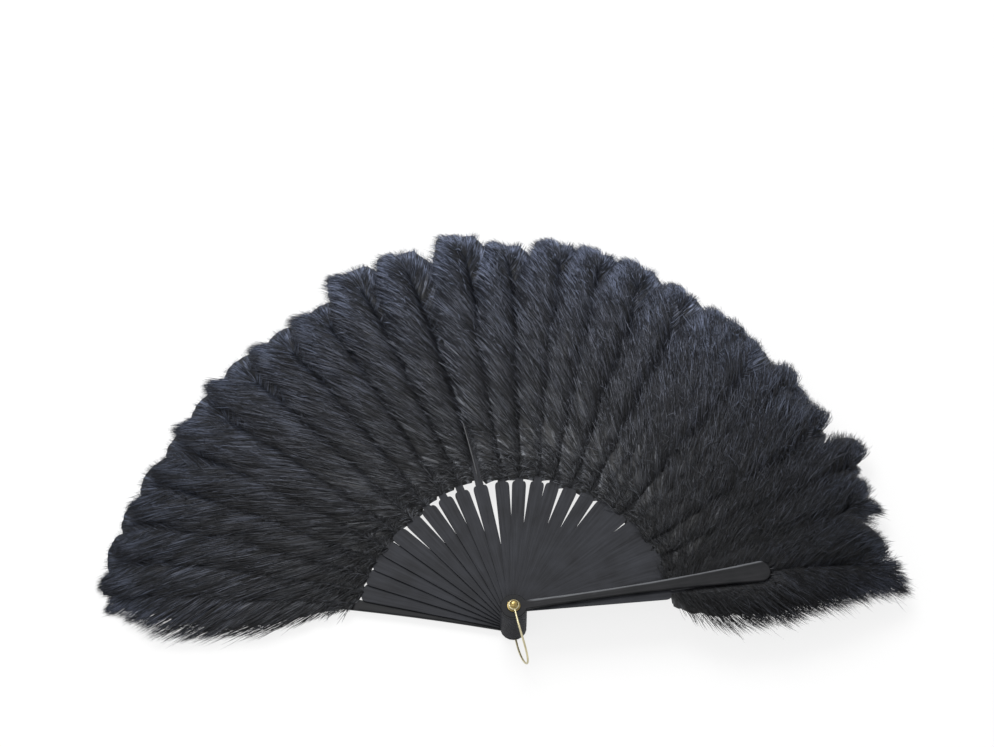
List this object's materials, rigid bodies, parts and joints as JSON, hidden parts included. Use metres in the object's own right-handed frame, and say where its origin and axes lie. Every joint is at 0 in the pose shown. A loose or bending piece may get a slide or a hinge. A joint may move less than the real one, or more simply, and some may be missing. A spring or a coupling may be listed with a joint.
{
  "type": "folding feather fan",
  "caption": "Folding feather fan of black wooden sticks and guards on a brass rivet, each stick carrying a fluffy plume, with a wire bail for a wrist ribbon.",
  "frame": {"origin": "centre of the rivet's flat back face, on the rivet's axis, which is the axis that every stick turns on", "axes": "+Z along the rivet, from the back of the fan to its front; +Y from the rivet to the middle of the open fan; +X to the right, towards the front guard"},
  "size_m": [0.6464, 0.4174, 0.0507],
  "materials": {
    "ebonised_wood": "satin black stained wood",
    "black_plume": "soft blue-black ostrich feather",
    "brass": "worn polished brass",
    "pale_brass": "pale drawn wire"
  },
  "bodies": {
    "base": {"guard_back": "ebonised_wood", "plume_back": "black_plume", "rivet_pin": "brass", "rivet_cap": "brass", "washer_back": "brass", "washer_front": "brass"},
    "leaf_01": {"stick_01": "ebonised_wood", "plume_01": "black_plume"},
    "leaf_02": {"stick_02": "ebonised_wood", "plume_02": "black_plume"},
    "leaf_03": {"stick_03": "ebonised_wood", "plume_03": "black_plume"},
    "leaf_04": {"stick_04": "ebonised_wood", "plume_04": "black_plume"},
    "leaf_05": {"stick_05": "ebonised_wood", "plume_05": "black_plume"},
    "leaf_06": {"stick_06": "ebonised_wood", "plume_06": "black_plume"},
    "leaf_07": {"stick_07": "ebonised_wood", "plume_07": "black_plume"},
    "leaf_08": {"stick_08": "ebonised_wood", "plume_08": "black_plume"},
    "leaf_09": {"stick_09": "ebonised_wood", "plume_09": "black_plume"},
    "leaf_10": {"stick_10": "ebonised_wood", "plume_10": "black_plume"},
    "leaf_11": {"stick_11": "ebonised_wood", "plume_11": "black_plume"},
    "leaf_12": {"stick_12": "ebonised_wood", "plume_12": "black_plume"},
    "leaf_13": {"stick_13": "ebonised_wood", "plume_13": "black_plume"},
    "leaf_14": {"stick_14": "ebonised_wood", "plume_14": "black_plume"},
    "leaf_15": {"stick_15": "ebonised_wood", "plume_15": "black_plume"},
    "leaf_16": {"stick_16": "ebonised_wood", "plume_16": "black_plume"},
    "leaf_17": {"stick_17": "ebonised_wood", "plume_17": "black_plume"},
    "leaf_18": {"stick_18": "ebonised_wood", "plume_18": "black_plume"},
    "leaf_19": {"stick_19": "ebonised_wood", "plume_19": "black_plume"},
    "leaf_20": {"stick_20": "ebonised_wood", "plume_20": "black_plume"},
    "leaf_21": {"stick_21": "ebonised_wood", "plume_21": "black_plume"},
    "leaf_22": {"stick_22": "ebonised_wood", "plume_22": "black_plume"},
    "leaf_23": {"stick_23": "ebonised_wood", "plume_23": "black_plume"},
    "leaf_24": {"stick_24": "ebonised_wood", "plume_24": "black_plume"},
    "leaf_25": {"stick_25": "ebonised_wood", "plume_25": "black_plume"},
    "front_leaf": {"guard_front": "ebonised_wood", "plume_front": "black_plume"},
    "bail": {"bail": "pale_brass"}
  },
  "joints": [
    {"name": "fan_fold", "type": "hinge", "parent": "base", "child": "front_leaf", "pos_m": [0, 0, 0], "axis": [0, 0, 1], "range_deg": [0, 162]},
    {"name": "leaf_01_turn", "type": "hinge", "parent": "base", "child": "leaf_01", "pos_m": [0, 0, 0], "axis": [0, 0, 1], "range_deg": [0, 5.21]},
    {"name": "leaf_02_turn", "type": "hinge", "parent": "base", "child": "leaf_02", "pos_m": [0, 0, 0], "axis": [0, 0, 1], "range_deg": [0, 11.61]},
    {"name": "leaf_03_turn", "type": "hinge", "parent": "base", "child": "leaf_03", "pos_m": [0, 0, 0], "axis": [0, 0, 1], "range_deg": [0, 18.01]},
    {"name": "leaf_04_turn", "type": "hinge", "parent": "base", "child": "leaf_04", "pos_m": [0, 0, 0], "axis": [0, 0, 1], "range_deg": [0, 24.61]},
    {"name": "leaf_05_turn", "type": "hinge", "parent": "base", "child": "leaf_05", "pos_m": [0, 0, 0], "axis": [0, 0, 1], "range_deg": [0, 31.61]},
    {"name": "leaf_06_turn", "type": "hinge", "parent": "base", "child": "leaf_06", "pos_m": [0, 0, 0], "axis": [0, 0, 1], "range_deg": [0, 39.21]},
    {"name": "leaf_07_turn", "type": "hinge", "parent": "base", "child": "leaf_07", "pos_m": [0, 0, 0], "axis": [0, 0, 1], "range_deg": [0, 46.81]},
    {"name": "leaf_08_turn", "type": "hinge", "parent": "base", "child": "leaf_08", "pos_m": [0, 0, 0], "axis": [0, 0, 1], "range_deg": [0, 54.11]},
    {"name": "leaf_09_turn", "type": "hinge", "parent": "base", "child": "leaf_09", "pos_m": [0, 0, 0], "axis": [0, 0, 1], "range_deg": [0, 61.01]},
    {"name": "leaf_10_turn", "type": "hinge", "parent": "base", "child": "leaf_10", "pos_m": [0, 0, 0], "axis": [0, 0, 1], "range_deg": [0, 68.41]},
    {"name": "leaf_11_turn", "type": "hinge", "parent": "base", "child": "leaf_11", "pos_m": [0, 0, 0], "axis": [0, 0, 1], "range_deg": [0, 76.81]},
    {"name": "leaf_12_turn", "type": "hinge", "parent": "base", "child": "leaf_12", "pos_m": [0, 0, 0], "axis": [0, 0, 1], "range_deg": [0, 83.41]},
    {"name": "leaf_13_turn", "type": "hinge", "parent": "base", "child": "leaf_13", "pos_m": [0, 0, 0], "axis": [0, 0, 1], "range_deg": [0, 90.41]},
    {"name": "leaf_14_turn", "type": "hinge", "parent": "base", "child": "leaf_14", "pos_m": [0, 0, 0], "axis": [0, 0, 1], "range_deg": [0, 96.31]},
    {"name": "leaf_15_turn", "type": "hinge", "parent": "base", "child": "leaf_15", "pos_m": [0, 0, 0], "axis": [0, 0, 1], "range_deg": [0, 103.41]},
    {"name": "leaf_16_turn", "type": "hinge", "parent": "base", "child": "leaf_16", "pos_m": [0, 0, 0], "axis": [0, 0, 1], "range_deg": [0, 110.71]},
    {"name": "leaf_17_turn", "type": "hinge", "parent": "base", "child": "leaf_17", "pos_m": [0, 0, 0], "axis": [0, 0, 1], "range_deg": [0, 117.91]},
    {"name": "leaf_18_turn", "type": "hinge", "parent": "base", "child": "leaf_18", "pos_m": [0, 0, 0], "axis": [0, 0, 1], "range_deg": [0, 122.01]},
    {"name": "leaf_19_turn", "type": "hinge", "parent": "base", "child": "leaf_19", "pos_m": [0, 0, 0], "axis": [0, 0, 1], "range_deg": [0, 126.01]},
    {"name": "leaf_20_turn", "type": "hinge", "parent": "base", "child": "leaf_20", "pos_m": [0, 0, 0], "axis": [0, 0, 1], "range_deg": [0, 133.31]},
    {"name": "leaf_21_turn", "type": "hinge", "parent": "base", "child": "leaf_21", "pos_m": [0, 0, 0], "axis": [0, 0, 1], "range_deg": [0, 137.61]},
    {"name": "leaf_22_turn", "type": "hinge", "parent": "base", "child": "leaf_22", "pos_m": [0, 0, 0], "axis": [0, 0, 1], "range_deg": [0, 141.91]},
    {"name": "leaf_23_turn", "type": "hinge", "parent": "base", "child": "leaf_23", "pos_m": [0, 0, 0], "axis": [0, 0, 1], "range_deg": [0, 149.31]},
    {"name": "leaf_24_turn", "type": "hinge", "parent": "base", "child": "leaf_24", "pos_m": [0, 0, 0], "axis": [0, 0, 1], "range_deg": [0, 156.41]},
    {"name": "leaf_25_turn", "type": "hinge", "parent": "base", "child": "leaf_25", "pos_m": [0, 0, 0], "axis": [0, 0, 1], "range_deg": [0, 163.81]},
    {"name": "bail_swing", "type": "hinge", "parent": "base", "child": "bail", "pos_m": [0, 0, 0], "axis": [0, 0, 1], "range_deg": [-70, 55]}
  ],
  "couplings": [
    {"joint": "leaf_01_turn", "follows": "fan_fold", "ratio": 0.032099},
    {"joint": "leaf_02_turn", "follows": "fan_fold", "ratio": 0.071605},
    {"joint": "leaf_03_turn", "follows": "fan_fold", "ratio": 0.11111},
    {"joint": "leaf_04_turn", "follows": "fan_fold", "ratio": 0.15185},
    {"joint": "leaf_05_turn", "follows": "fan_fold", "ratio": 0.19506},
    {"joint": "leaf_06_turn", "follows": "fan_fold", "ratio": 0.24198},
    {"joint": "leaf_07_turn", "follows": "fan_fold", "ratio": 0.28889},
    {"joint": "leaf_08_turn", "follows": "fan_fold", "ratio": 0.33395},
    {"joint": "leaf_09_turn", "follows": "fan_fold", "ratio": 0.37654},
    {"joint": "leaf_10_turn", "follows": "fan_fold", "ratio": 0.42222},
    {"joint": "leaf_11_turn", "follows": "fan_fold", "ratio": 0.47407},
    {"joint": "leaf_12_turn", "follows": "fan_fold", "ratio": 0.51481},
    {"joint": "leaf_13_turn", "follows": "fan_fold", "ratio": 0.55802},
    {"joint": "leaf_14_turn", "follows": "fan_fold", "ratio": 0.59444},
    {"joint": "leaf_15_turn", "follows": "fan_fold", "ratio": 0.63827},
    {"joint": "leaf_16_turn", "follows": "fan_fold", "ratio": 0.68333},
    {"joint": "leaf_17_turn", "follows": "fan_fold", "ratio": 0.72778},
    {"joint": "leaf_18_turn", "follows": "fan_fold", "ratio": 0.75309},
    {"joint": "leaf_19_turn", "follows": "fan_fold", "ratio": 0.77778},
    {"joint": "leaf_20_turn", "follows": "fan_fold", "ratio": 0.82284},
    {"joint": "leaf_21_turn", "follows": "fan_fold", "ratio": 0.84938},
    {"joint": "leaf_22_turn", "follows": "fan_fold", "ratio": 0.87593},
    {"joint": "leaf_23_turn", "follows": "fan_fold", "ratio": 0.9216},
    {"joint": "leaf_24_turn", "follows": "fan_fold", "ratio": 0.96543},
    {"joint": "leaf_25_turn", "follows": "fan_fold", "ratio": 1.0111}
  ]
}
